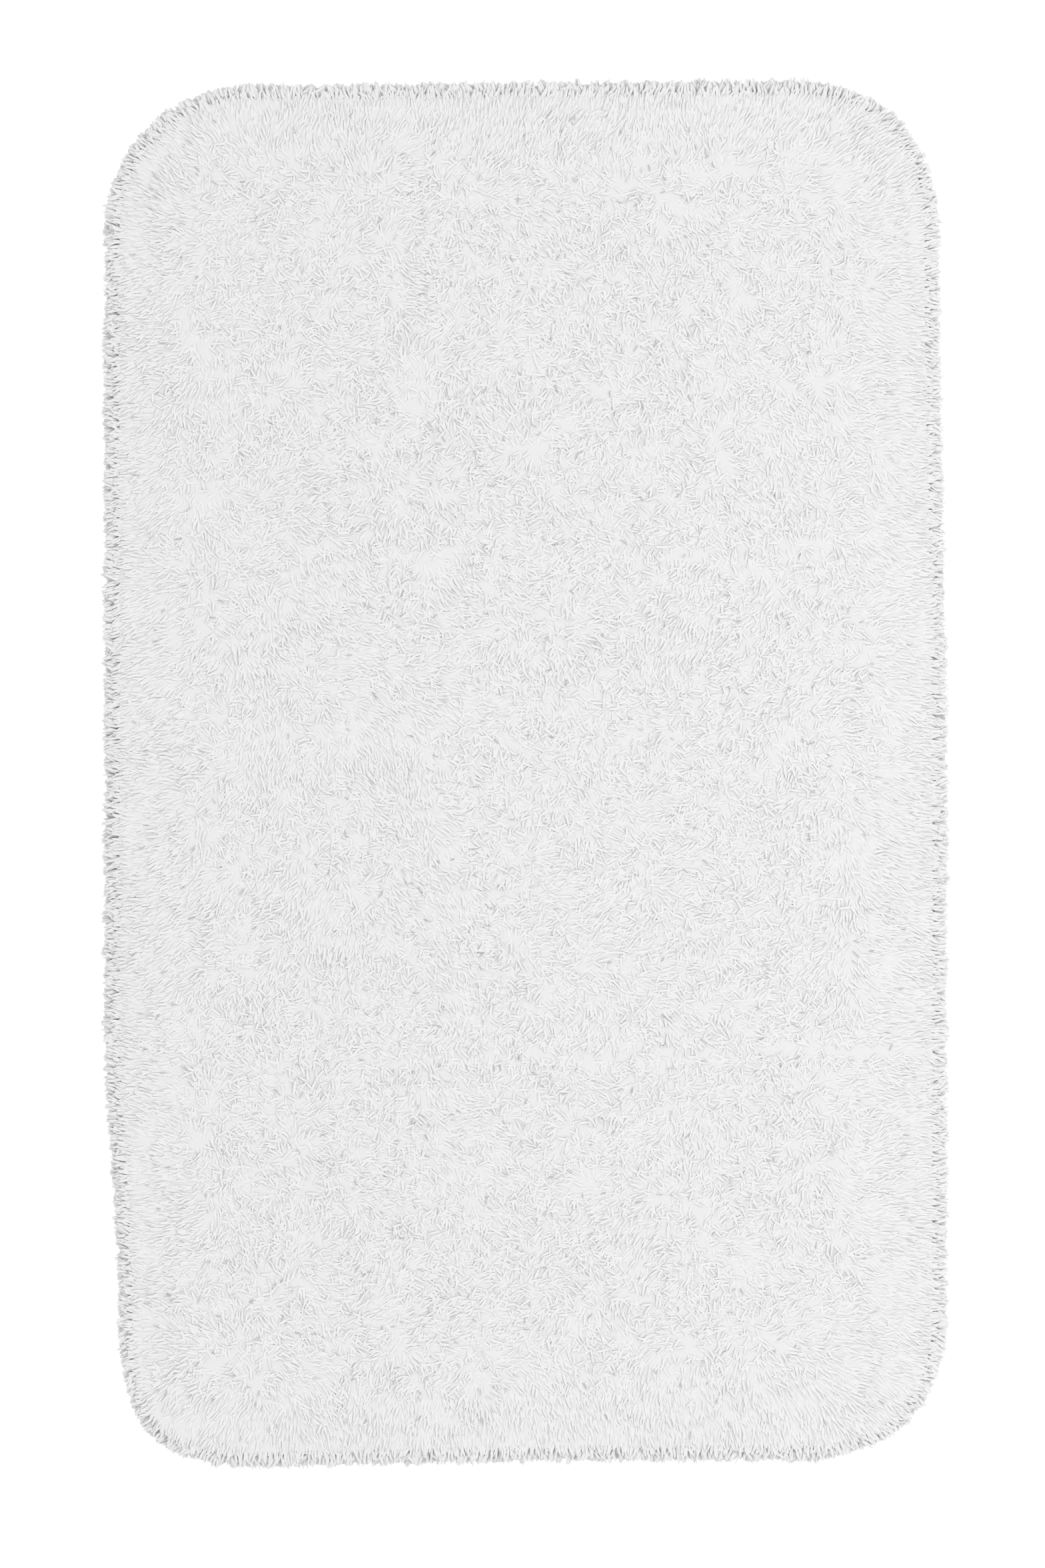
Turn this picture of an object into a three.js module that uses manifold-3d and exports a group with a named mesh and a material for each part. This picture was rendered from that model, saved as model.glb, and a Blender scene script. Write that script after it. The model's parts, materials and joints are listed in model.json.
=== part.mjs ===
// A cut-pile bath mat that folds in thirds with its pile inwards: each end flap turns over the middle.
// Millimetres, +Z up. The origin is under the centre of the mat, X runs across it and Y along it.
import * as THREE from "three";
import { mergeVertices } from "three/addons/utils/BufferGeometryUtils.js";
import Module from "manifold-3d";

const wasm = await Module();
wasm.setup();

// The hemmed cloth in plan.
const matWidth = 600;
const matLength = 1000;
const cornerRadius = 100;
const cornerSteps = 8;

// The flaps beyond the two creases, and the gap that parts the solids at a crease.
const frontFlapLength = 296;
const backFlapLength = 337;
const foldGap = 0.6;

// The layers, each a small gap above the one below, and the gap under the label's thread, the lowest of them.
const layerGap = 0.3;
const floorGap = 0.05;
const hemThickness = 0.7;
const backingThickness = 1.2;
const pileHeight = 16.5;

// The pile block leans out past the hem all round, and its edges are rounded.
const pileOverhang = 8;
const pileRounding = 6;
const pileRoundingSteps = 3;

// The turned hem and the lockstitch that holds it.
const hemWidth = 24;
const threadInset = 3;
const threadWidth = 0.8;
const threadThickness = 0.25;

// The blank care label, sewn flat on the hem of the front edge.
const labelLength = 42;
const labelWidth = 14;
const labelThickness = 0.2;
const labelFromSeam = 2.2;
const labelFromCorner = 60;
const labelSeamInset = 1.2;
const labelSeamWidth = 0.5;
const labelSeamThickness = 0.15;

// The heights, from the floor up. The latex coat is as deep as the hem and what is sewn under it.
const labelSeamBottom = floorGap;
const labelBottom = labelSeamBottom + labelSeamThickness + layerGap;
const hemBottom = labelBottom + labelThickness + layerGap;
const threadBottom = hemBottom - layerGap - threadThickness;
const gripThickness = hemBottom + hemThickness;
const backingBottom = gripThickness + layerGap;
const pileBottom = backingBottom + backingThickness + layerGap;
const matThickness = pileBottom + pileHeight;

// The lockstitch runs near the hem's inner edge, and the label lies between it and the mat's edge.
const threadOuter = hemWidth - threadInset;
const threadInner = threadOuter - threadWidth;
const labelFromEdge = threadInner - labelFromSeam - labelWidth;

const frontCrease = -matLength / 2 + frontFlapLength;
const backCrease = matLength / 2 - backFlapLength;

const pastTheEnd = matLength / 2 + 2 * pileOverhang;
const sections = {
  front: [-pastTheEnd, frontCrease],
  middle: [frontCrease, backCrease],
  back: [backCrease, pastTheEnd],
};

const pileYarn = new THREE.MeshStandardMaterial({ color: 0xe9e9e8, roughness: 0.95, metalness: 0 });
const backingCloth = new THREE.MeshStandardMaterial({ color: 0xe4e1d8, roughness: 0.9, metalness: 0 });
const gripLatex = new THREE.MeshStandardMaterial({ color: 0xe6e4dc, roughness: 0.6, metalness: 0 });
const hemThread = new THREE.MeshStandardMaterial({ color: 0xf0efec, roughness: 0.6, metalness: 0 });
const labelSatin = new THREE.MeshStandardMaterial({ color: 0xf5f5f3, roughness: 0.45, metalness: 0 });

// The mat's outline moved in by an inset (or out, where it is negative), as a rounded rectangle.
function outline(inset) {
  const x = matWidth / 2 - inset;
  const y = matLength / 2 - inset;
  const radius = cornerRadius - inset;
  const shape = new THREE.Shape();
  shape.moveTo(x, y - radius);
  shape.absarc(x - radius, y - radius, radius, 0, Math.PI / 2, false);
  shape.absarc(-x + radius, y - radius, radius, Math.PI / 2, Math.PI, false);
  shape.absarc(-x + radius, -y + radius, radius, Math.PI, 1.5 * Math.PI, false);
  shape.absarc(x - radius, -y + radius, radius, 1.5 * Math.PI, 2 * Math.PI, false);
  shape.closePath();
  return shape;
}

// A flat plate of the shape, standing on z = bottom.
function plate(shape, bottom, thickness) {
  const options = { depth: thickness, bevelEnabled: false, curveSegments: cornerSteps };
  const geometry = new THREE.ExtrudeGeometry(shape, options);
  geometry.translate(0, 0, bottom);
  return geometry;
}

// A plate between two insets of the outline: a band that follows the mat's edge.
function band(outerInset, innerInset, bottom, thickness) {
  const shape = outline(outerInset);
  shape.holes.push(outline(innerInset));
  return plate(shape, bottom, thickness);
}

// The whole block of pile, with rounded edges above and below.
function pileBlock() {
  const options = {
    depth: pileHeight - 2 * pileRounding,
    bevelThickness: pileRounding,
    bevelSize: pileOverhang,
    bevelOffset: -pileOverhang,
    bevelSegments: pileRoundingSteps,
    curveSegments: cornerSteps,
  };
  const geometry = new THREE.ExtrudeGeometry(outline(-pileOverhang), options);
  geometry.translate(0, 0, pileBottom + pileRounding);
  return geometry;
}

function solidOf(geometry) {
  const bare = geometry.index ? geometry.toNonIndexed() : geometry.clone();
  bare.deleteAttribute("normal");
  bare.deleteAttribute("uv");
  const merged = mergeVertices(bare, 1e-4);
  const triVerts = new Uint32Array(merged.index.array);
  const vertProperties = merged.attributes.position.array;
  return new wasm.Manifold(new wasm.Mesh({ numProp: 3, vertProperties, triVerts }));
}

function geometryOf(solid) {
  const mesh = solid.getMesh();
  const geometry = new THREE.BufferGeometry();
  geometry.setAttribute("position", new THREE.BufferAttribute(mesh.vertProperties, 3));
  geometry.setIndex(new THREE.BufferAttribute(mesh.triVerts, 1));
  geometry.computeVertexNormals();
  return geometry;
}

// A box that holds one section of the mat, half a fold gap short of each crease. A side of -1 or 1
// keeps its left or right half, and 0 keeps both.
function sectionBox([from, to], side) {
  const width = matWidth + 4 * pileOverhang;
  const height = 2 * matThickness;
  const geometry = new THREE.BoxGeometry(side === 0 ? width : width / 2, to - from - foldGap, height);
  geometry.translate((side * width) / 4, (from + to) / 2, matThickness / 2);
  return solidOf(geometry);
}

const mat = new THREE.Group();

function addMesh(name, geometry, material) {
  const mesh = new THREE.Mesh(geometry, material);
  mesh.name = name;
  mat.add(mesh);
}

// One node for each section of a layer that fills the mat.
function addLayer(name, geometry, material) {
  const whole = solidOf(geometry);
  for (const [section, limits] of Object.entries(sections)) {
    addMesh(`${name}_${section}`, geometryOf(whole.intersect(sectionBox(limits, 0))), material);
  }
}

// One node for each end of a band round the edge, and one for each of its sides between the creases.
function addEdge(name, geometry, material) {
  const whole = solidOf(geometry);
  const stretches = [
    ["front", sections.front, 0],
    ["left", sections.middle, -1],
    ["right", sections.middle, 1],
    ["back", sections.back, 0],
  ];
  for (const [stretch, limits, side] of stretches) {
    addMesh(`${name}_${stretch}`, geometryOf(whole.intersect(sectionBox(limits, side))), material);
  }
}

function labelRectangle(inset) {
  const left = -matWidth / 2 + cornerRadius + labelFromCorner + inset;
  const right = left + labelLength - 2 * inset;
  const low = -matLength / 2 + labelFromEdge + inset;
  const high = low + labelWidth - 2 * inset;
  const shape = new THREE.Shape();
  shape.moveTo(left, low);
  shape.lineTo(right, low);
  shape.lineTo(right, high);
  shape.lineTo(left, high);
  shape.closePath();
  return shape;
}

function addLabel() {
  const seam = labelRectangle(labelSeamInset);
  seam.holes.push(labelRectangle(labelSeamInset + labelSeamWidth));
  addMesh("care_label", plate(labelRectangle(0), labelBottom, labelThickness), labelSatin);
  addMesh("care_label_thread", plate(seam, labelSeamBottom, labelSeamThickness), hemThread);
}

addLayer("pile", pileBlock(), pileYarn);
addLayer("backing", plate(outline(0), backingBottom, backingThickness), backingCloth);
addLayer("grip", plate(outline(hemWidth + layerGap), 0, gripThickness), gripLatex);
addEdge("hem", band(0, hemWidth, hemBottom, hemThickness), backingCloth);
addEdge("thread", band(threadInner, threadOuter, threadBottom, threadThickness), hemThread);
addLabel();

export default mat;
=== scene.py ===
import json
import math

import bpy
import numpy as np
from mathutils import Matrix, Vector


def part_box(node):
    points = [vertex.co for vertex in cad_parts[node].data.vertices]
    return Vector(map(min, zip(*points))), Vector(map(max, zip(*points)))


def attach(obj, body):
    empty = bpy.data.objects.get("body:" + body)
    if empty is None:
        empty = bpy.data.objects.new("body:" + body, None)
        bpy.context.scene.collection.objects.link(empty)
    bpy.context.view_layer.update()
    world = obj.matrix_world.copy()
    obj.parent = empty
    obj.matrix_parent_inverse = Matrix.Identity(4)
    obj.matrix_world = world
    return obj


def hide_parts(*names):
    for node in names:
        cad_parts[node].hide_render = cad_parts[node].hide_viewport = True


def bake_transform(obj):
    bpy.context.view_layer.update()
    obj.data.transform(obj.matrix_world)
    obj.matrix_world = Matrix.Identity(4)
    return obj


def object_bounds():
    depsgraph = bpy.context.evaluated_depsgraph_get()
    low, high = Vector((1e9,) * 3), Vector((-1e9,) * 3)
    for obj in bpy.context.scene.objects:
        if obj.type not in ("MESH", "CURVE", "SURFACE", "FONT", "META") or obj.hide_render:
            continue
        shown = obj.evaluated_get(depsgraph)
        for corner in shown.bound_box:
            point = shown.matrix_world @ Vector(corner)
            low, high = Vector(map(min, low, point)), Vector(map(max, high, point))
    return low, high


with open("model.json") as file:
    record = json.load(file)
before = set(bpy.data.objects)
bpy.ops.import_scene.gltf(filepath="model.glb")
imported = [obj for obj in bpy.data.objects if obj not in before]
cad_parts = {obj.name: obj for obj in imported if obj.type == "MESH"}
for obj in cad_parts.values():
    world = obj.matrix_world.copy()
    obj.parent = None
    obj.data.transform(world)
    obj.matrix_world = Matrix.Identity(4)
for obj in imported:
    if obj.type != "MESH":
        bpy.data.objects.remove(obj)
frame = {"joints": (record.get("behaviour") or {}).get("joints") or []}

# The bath mat in metres, lying on z = 0 with its long side along Y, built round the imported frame.
cadLow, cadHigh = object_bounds()
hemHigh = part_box("backing_back")[1]
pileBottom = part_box("pile_middle")[0].z
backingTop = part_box("backing_middle")[1].z
halfWidth, halfLength = hemHigh.x, hemHigh.y
hinges = {j["name"]: j["pos_m"] for j in frame["joints"]}
frontCrease, backCrease = hinges["front_fold"][1], hinges["back_fold"][1]
cornerRadius = 0.100
hexRow = 0.866  # the distance between rows of a hexagonal lattice, over its spacing
print("frame loaded: the mat is", round(2 * halfWidth, 3), "by", round(2 * halfLength, 3), "m")


# The camera looks straight down at the mat.
viewpoint = {
    "framedLength": 1.148,  # what the view holds at the mat's height, from top to bottom
    "aimX": -0.0024,
    "aimY": -0.0073,
    "lens": 100.0,
    "sensor": 36.0,
}

# An even sky, one large weak lamp to the right of the mat, and a white table under it.
studio = {
    "skyStrength": 1.06,
    "skyColour": (1.0, 1.0, 1.0),
    "keyPower": 13.0,
    "keySize": 1.6,
    "keyPlace": (1.9, -0.1, 1.6),
    "floorSize": 14.0,
    "floorColour": (0.96, 0.96, 0.96),
    "floorGlow": 0.36,  # the table is lit from below, so shadows on it stay pale
}


def makeCamera(v):
    # The distance is the lens over the sensor, times the length that the view has to hold.
    data = bpy.data.cameras.new("camera")
    data.lens = v["lens"]
    data.sensor_width = v["sensor"]
    cam = bpy.data.objects.new("camera", data)
    bpy.context.collection.objects.link(cam)
    distance = v["lens"] / v["sensor"] * v["framedLength"]
    cam.location = (v["aimX"], v["aimY"], cadHigh.z + distance)
    data.clip_end = 50.0
    bpy.context.scene.camera = cam


def makeStudio(s):
    # The lamp is turned to face the middle of the mat.
    scene = bpy.context.scene
    scene.view_settings.view_transform = "Standard"
    world = bpy.data.worlds.new("sky")
    world.use_nodes = True
    sky = world.node_tree.nodes["Background"]
    sky.inputs["Color"].default_value = (*s["skyColour"], 1)
    sky.inputs["Strength"].default_value = s["skyStrength"]
    scene.world = world
    key = bpy.data.lights.new("keyLight", "AREA")
    key.shape = "SQUARE"
    key.size = s["keySize"]
    key.energy = s["keyPower"]
    lamp = bpy.data.objects.new("keyLight", key)
    bpy.context.collection.objects.link(lamp)
    lamp.location = s["keyPlace"]
    lamp.rotation_mode = "QUATERNION"
    lamp.rotation_quaternion = (-Vector(s["keyPlace"])).to_track_quat("-Z", "Y")
    half = s["floorSize"] / 2
    mesh = bpy.data.meshes.new("floor")
    corners = [(-half, -half, 0), (half, -half, 0), (half, half, 0), (-half, half, 0)]
    mesh.from_pydata(corners, [], [(0, 1, 2, 3)])
    floor = bpy.data.objects.new("floor", mesh)
    bpy.context.collection.objects.link(floor)
    matte = bpy.data.materials.new("studioFloor")
    matte.use_nodes = True
    paint = matte.node_tree.nodes["Principled BSDF"]
    paint.inputs["Base Color"].default_value = (*s["floorColour"], 1)
    paint.inputs["Roughness"].default_value = 0.9
    paint.inputs["Specular IOR Level"].default_value = 0.1
    paint.inputs["Emission Strength"].default_value = s["floorGlow"]
    mesh.materials.append(matte)


makeCamera(viewpoint)
makeStudio(studio)
print("camera, light and floor are set")


# How the mat lies: each side is drawn in by up to its depth, which grows from one place along the side to
# another, and each corner is pushed out by so much.
lie = {
    "sides": {
        "left": {"depth": 0.0095, "from": -0.18, "to": -0.39},
        "right": {"depth": 0.0055, "from": 0.02, "to": 0.38},
        "front": {"depth": 0.0050, "from": -0.26, "to": 0.05},
        "back": {"depth": 0.0036, "from": 0.25, "to": -0.27},
    },
    "corners": {(-1, -1): 0.0110, (1, -1): 0.0050, (1, 1): 0.0036, (-1, 1): 0.0012},
    "cornerReach": 0.045,
    "outermost": 1.1,  # past this share of half the mat's size, the pull grows no more
}


def ease(x):
    # 0 below 0, 1 above 1, and 3x^2 - 2x^3 between.
    x = np.clip(x, 0, 1)
    return x * x * (3 - 2 * x)


def settle(points):
    # A side's pull is its depth, times an eased share along it, times the square of how far out towards it
    # the point is. A corner's push is a bell round the middle of its arc, along its diagonal.
    x, y = points[:, 0], points[:, 1]
    outs = {"left": -x / halfWidth, "right": x / halfWidth, "front": -y / halfLength, "back": y / halfLength}
    ways = {"left": (1, 0), "right": (-1, 0), "front": (0, 1), "back": (0, -1)}
    shift = np.zeros((len(points), 2))
    for name, side in lie["sides"].items():
        along = y if name in ("left", "right") else x
        share = ease((along - side["from"]) / (side["to"] - side["from"]))
        pull = side["depth"] * share * np.clip(outs[name], 0, lie["outermost"]) ** 2
        shift += pull[:, None] * np.array(ways[name])
    arcIn = cornerRadius * (1 - math.sqrt(0.5))
    for (sx, sy), push in lie["corners"].items():
        gap = np.hypot(x - sx * (halfWidth - arcIn), y - sy * (halfLength - arcIn))
        bell = push * np.exp(-((gap / lie["cornerReach"]) ** 2))
        shift += bell[:, None] * np.array([sx, sy]) * math.sqrt(0.5)
    moved = points.copy()
    moved[:, :2] += shift
    return moved


def makeMesh(name, points, quads, tris=None, uv=None, maps=("cloth",), normals=None, smooth=True):
    # Points are rows of x, y, z; quads and tris are rows of point numbers; uv has a row for each corner,
    # the quads' corners first; normals has a row for each point. Without uv, the map is x and y in metres.
    # The points are worked out on a perfect outline, and settle moves them to where the mat lies.
    tris = np.zeros((0, 3), int) if tris is None else tris
    corners = np.concatenate([quads.ravel(), tris.ravel()]).astype(np.int32)
    sizes = np.concatenate([np.full(len(quads), 4), np.full(len(tris), 3)])
    starts = np.concatenate([[0], np.cumsum(sizes)[:-1]]).astype(np.int32)
    mesh = bpy.data.meshes.new(name)
    mesh.vertices.add(len(points))
    mesh.loops.add(len(corners))
    mesh.loops.foreach_set("vertex_index", corners)
    mesh.polygons.add(len(sizes))
    mesh.polygons.foreach_set("loop_start", starts)
    mesh.polygons.foreach_set("use_smooth", np.full(len(sizes), smooth))
    uv = points[corners, :2] if uv is None else uv
    mesh.vertices.foreach_set("co", np.ascontiguousarray(settle(points), np.float32).ravel())
    for layer in maps:
        mesh.uv_layers.new(name=layer, do_init=False)
        mesh.uv_layers[layer].uv.foreach_set("vector", np.ascontiguousarray(uv, np.float32).ravel())
    mesh.update(calc_edges=True)
    if normals is not None:
        mesh.normals_split_custom_set_from_vertices(normals.astype(np.float32))
    piece = bpy.data.objects.new(name, mesh)
    bpy.context.collection.objects.link(piece)
    return piece


def softNoise(x, y, size, seed):
    # Random numbers from -1 to 1 on a square lattice, with eased steps from each to the next. The lattice
    # repeats after its 64 cells, and its middle is set far from the origin, so that all places are positive.
    cells = 64
    middle = 10 * cells + 0.5
    table = np.random.default_rng(seed).uniform(-1, 1, (cells, cells))
    u, v = x / size + middle, y / size + middle
    i, j = np.floor(u).astype(int), np.floor(v).astype(int)
    fu, fv = ease(u - i), ease(v - j)
    i0, i1, j0, j1 = i % cells, (i + 1) % cells, j % cells, (j + 1) % cells
    low = table[i0, j0] * (1 - fu) + table[i1, j0] * fu
    high = table[i0, j1] * (1 - fu) + table[i1, j1] * fu
    return low * (1 - fv) + high * fv


def edgeReach(y, inset):
    # Half the mat's width at y for an outline moved in by inset: straight sides, then a quarter circle
    # from where y passes the corner's centre.
    radius = cornerRadius - inset
    past = np.clip(np.abs(y) - (halfLength - cornerRadius), 0, radius)
    return halfWidth - inset - radius + np.sqrt(radius**2 - past**2)


def edgeDistance(x, y):
    # How far inside the hemmed outline a point is, and the unit direction to the nearest edge: the usual
    # distance to a rounded rectangle, from its corner centres.
    qx = np.abs(x) - (halfWidth - cornerRadius)
    qy = np.abs(y) - (halfLength - cornerRadius)
    outX, outY = np.maximum(qx, 0), np.maximum(qy, 0)
    reach = np.hypot(outX, outY)
    inside = cornerRadius - reach - np.minimum(np.maximum(qx, qy), 0)
    nx = np.where(reach > 0, outX / np.maximum(reach, 1e-9), (qx > qy) * 1.0)
    ny = np.where(reach > 0, outY / np.maximum(reach, 1e-9), (qx <= qy) * 1.0)
    return inside, nx * np.sign(x), ny * np.sign(y)


def rowsBetween(low, high, inset, step, cornerRows=22):
    # Values of y from low to high, evenly spaced on the straight and by equal angles round the corners.
    radius = cornerRadius - inset
    turn = halfLength - cornerRadius + radius * np.sin(np.linspace(0, math.pi / 2, cornerRows))
    top = halfLength - inset
    low, high = max(low, -top), min(high, top)
    even = np.linspace(low, high, max(2, int((high - low) / step) + 1))
    rows = np.concatenate([even[np.abs(even) < turn[0] - step / 3], turn, -turn, [low, high]])
    return np.unique(rows[(rows >= low) & (rows <= high)].round(6))


def slab(rows, across, reach, under, over, middle=0.0):
    # A closed slab over the grid x = middle + reach * s for s from -1 to 1, y in rows, with a reach for each
    # row. Its lower and upper faces are z = under(x, y) and z = over(x, y), and a rim joins them.
    s = np.linspace(-1, 1, across + 1)
    y = np.repeat(rows[:, None], across + 1, 1)
    x = middle + reach[:, None] * s
    n, m = y.shape
    upper = np.stack([x, y, over(x, y)], -1).reshape(-1, 3)
    lower = np.stack([x, y, under(x, y)], -1).reshape(-1, 3)
    index = np.arange(n * m).reshape(n, m)
    a, b, c, d = index[:-1, :-1], index[:-1, 1:], index[1:, 1:], index[1:, :-1]
    top = np.stack([a, b, c, d], -1).reshape(-1, 4)
    bottom = top[:, ::-1] + n * m
    rim = np.concatenate([index[0, :], index[1:, -1], index[-1, -2::-1], index[-2:0:-1, 0]])
    after = np.roll(rim, -1)
    side = np.stack([rim, rim + n * m, after + n * m, after], -1)
    return np.concatenate([upper, lower]), np.concatenate([top, bottom, side])


def outlinePath(inset, step):
    # Points all round the rounded rectangle, a step apart: its four quarter circles and four sides in turn,
    # with the unit vector out of the mat at each.
    radius = cornerRadius - inset
    ax, ay = halfWidth - cornerRadius, halfLength - cornerRadius
    points, normals = [], []
    corners = ((1, 1, 0.0), (-1, 1, 0.5), (-1, -1, 1.0), (1, -1, 1.5))
    for number, (sx, sy, start) in enumerate(corners):
        turn = math.pi * (start + np.linspace(0, 0.5, int(radius * math.pi / 2 / step) + 1)[:-1])
        n = np.stack([np.cos(turn), np.sin(turn)], -1)
        points.append(np.array([sx * ax, sy * ay]) + radius * n)
        normals.append(n)
        nx, ny, _ = corners[(number + 1) % 4]
        end = np.array([math.cos(math.pi * (start + 0.5)), math.sin(math.pi * (start + 0.5))])
        a = np.array([sx * ax, sy * ay]) + radius * end
        b = np.array([nx * ax, ny * ay]) + radius * end
        t = np.linspace(0, 1, int(np.hypot(*(b - a)) / step) + 1)[:-1, None]
        points.append(a + (b - a) * t)
        normals.append(np.repeat(end[None], len(t), 0))
    return np.concatenate(points), np.concatenate(normals)


def cutOutline(inset, step, split, back):
    # The part of the outline behind y = split, or in front of it, from one long side round to the other.
    path, normal = outlinePath(inset, step)
    front = np.flatnonzero(path[:, 1] < split)
    side = halfWidth - inset
    if back:
        path, normal = (np.roll(a, -front[-1] - 1, 0)[:-len(front)] for a in (path, normal))
        ends = [[side, split]], [[-side, split]]
    else:
        path, normal = path[front], normal[front]
        ends = [[-side, split]], [[side, split]]
    turned = [[math.copysign(1, ends[0][0][0]), 0]], [[math.copysign(1, ends[1][0][0]), 0]]
    return np.concatenate([ends[0], path, ends[1]]), np.concatenate([turned[0], normal, turned[1]])


def carry(path, normal, profile):
    # A closed profile of (outwards, up) points, one row of it for each point of the path, carried along the
    # path, with a flat cap at each end. Returns points, quads and triangles, and a map of the distance along
    # the path and round the profile.
    n, m = profile.shape[:2]
    flat = path[:, None] + normal[:, None] * profile[:, :, :1]
    points = np.concatenate([flat, profile[:, :, 1:]], 2).reshape(-1, 3)
    i, k = np.arange(n - 1)[:, None] * m, np.arange(m)
    k1 = (k + 1) % m
    quads = np.stack([i + k, i + m + k, i + m + k1, i + k1], -1).reshape(-1, 4)
    fan = np.stack([np.zeros(m - 2, int), np.arange(1, m - 1), np.arange(2, m)], -1)
    tris = np.concatenate([fan, fan[:, ::-1] + (n - 1) * m])
    along = np.concatenate([[0], np.cumsum(np.linalg.norm(np.diff(path, axis=0), axis=1))])
    around = np.linalg.norm(np.roll(profile[0], -1, 0) - profile[0], axis=1)
    around = np.concatenate([[0], np.cumsum(around)])
    a0, a1 = along[:-1, None] + 0 * k, along[1:, None] + 0 * k
    b0, b1 = around[k] + 0 * a0, around[k + 1] + 0 * a0
    quadUv = np.stack([np.stack([a0, a1, a1, a0], -1), np.stack([b0, b0, b1, b1], -1)], -1).reshape(-1, 2)
    capUv = np.concatenate([profile[0][fan.ravel()], profile[-1][fan[:, ::-1].ravel()]])
    return points, quads, tris, np.concatenate([quadUv, capUv])


def capsules(middles, directions, z, length, radius, lift, sides=5):
    # Short closed threads, each bowed down in the middle: the height is z plus lift times t squared for t
    # from -1 to 1 along it, and its rings have radii of 0.8, 1 and 0.8 between two end points.
    n = len(middles)
    t = np.array([-1.0, -0.62, 0.0, 0.62, 1.0])
    wide = np.array([0.0, 0.8, 1.0, 0.8, 0.0])
    flat = middles[:, None] + directions[:, None] * (t * length / 2)[None, :, None]
    up = np.broadcast_to(z + lift * t**2, (n, 5))[..., None]
    line = np.concatenate([flat, up], 2)
    across = np.stack([-directions[:, 1], directions[:, 0], np.zeros(n)], -1)[:, None, None]
    turn = np.arange(sides) / sides * 2 * math.pi
    c, s = np.cos(turn)[None, None, :, None], np.sin(turn)[None, None, :, None]
    upward = np.array([0.0, 0.0, 1.0])
    rings = line[:, 1:4, None] + radius * wide[None, 1:4, None, None] * (across * c + upward * s)
    points = np.concatenate([rings.reshape(n, -1, 3), line[:, :1], line[:, 4:]], 1)
    size = 3 * sides + 2
    k = np.arange(sides)
    k1 = (k + 1) % sides
    r = np.arange(2)[:, None] * sides
    wall = np.stack([r + k, r + k1, r + sides + k1, r + sides + k], -1).reshape(-1, 4)
    first = np.stack([k1, k, np.full(sides, size - 2)], -1)
    last = np.stack([2 * sides + k, 2 * sides + k1, np.full(sides, size - 1)], -1)
    base = (np.arange(n) * size)[:, None, None]
    tris = np.concatenate([first, last])
    a, b = k / sides, (k + 1) / sides
    wallU = np.broadcast_to(np.stack([a, b, b, a], -1), (2, sides, 4)).reshape(-1, 4)
    wallV = np.repeat(np.array([[0.25, 0.25, 0.5, 0.5], [0.5, 0.5, 0.75, 0.75]]), sides, 0)
    tipU = np.concatenate([np.stack([b, a, (a + b) / 2], -1), np.stack([a, b, (a + b) / 2], -1)])
    tipV = np.repeat(np.array([[0.25, 0.25, 0.0], [0.75, 0.75, 1.0]]), sides, 0)
    quadUv = np.tile(np.stack([wallU, wallV], -1).reshape(-1, 2), (n, 1))
    tipUv = np.tile(np.stack([tipU, tipV], -1).reshape(-1, 2), (n, 1))
    quads = (wall[None] + base).reshape(-1, 4)
    return points.reshape(-1, 3), quads, (tris[None] + base).reshape(-1, 3), np.concatenate([quadUv, tipUv])


def newMaterial(name, **sockets):
    # A Principled material whose unvarying values are set on its own sockets.
    material = bpy.data.materials.new(name)
    material.use_nodes = True
    shader = material.node_tree.nodes["Principled BSDF"]
    for socket, value in sockets.items():
        shader.inputs[socket.replace("_", " ")].default_value = value
    return material, material.node_tree, shader


def addNode(tree, kind, links=None, **settings):
    # A node with its properties set, its inputs set to plain values or linked from other nodes' outputs.
    node = tree.nodes.new(kind)
    for key, value in settings.items():
        setattr(node, key, value)
    for key, value in (links or {}).items():
        if isinstance(value, bpy.types.NodeSocket):
            tree.links.new(value, node.inputs[key])
        else:
            node.inputs[key].default_value = value
    return node


def setRamp(node, stops):
    # Each stop is a place from 0 to 1 and its colour.
    ramp = node.color_ramp
    while len(ramp.elements) < len(stops):
        ramp.elements.new(0.5)
    for element, (place, colour) in zip(ramp.elements, stops):
        element.position = place
        element.color = (*colour, 1)


# The yarn's colours. The map's u is each end's tone, on a scale from 0 to 1, and v runs from its root to
# its tip.
yarnFinish = {
    "tones": (
        (0.06, (0.42, 0.43, 0.46)),  # painted shadow: thin ends coloured dark for the shade in the gaps of the pile
        (0.12, (0.750, 0.750, 0.751)),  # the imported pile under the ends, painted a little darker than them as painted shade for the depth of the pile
        (0.16, (0.750, 0.750, 0.751)),
        (0.22, (0.775, 0.776, 0.778)),
        (0.60, (0.786, 0.786, 0.786)),
        (1.00, (0.794, 0.794, 0.792)),
    ),
    # painted shade: each end darker towards its root, where the ends around it shade it
    "shadeAlong": ((0.0, 0.98), (0.45, 0.985), (1.0, 1.0)),
    "fibreScale": (900.0, 5.0, 1.0),
    "fibreContrast": 0.02,
    "roughness": 0.92,
    "sheen": 0.15,
}


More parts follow.
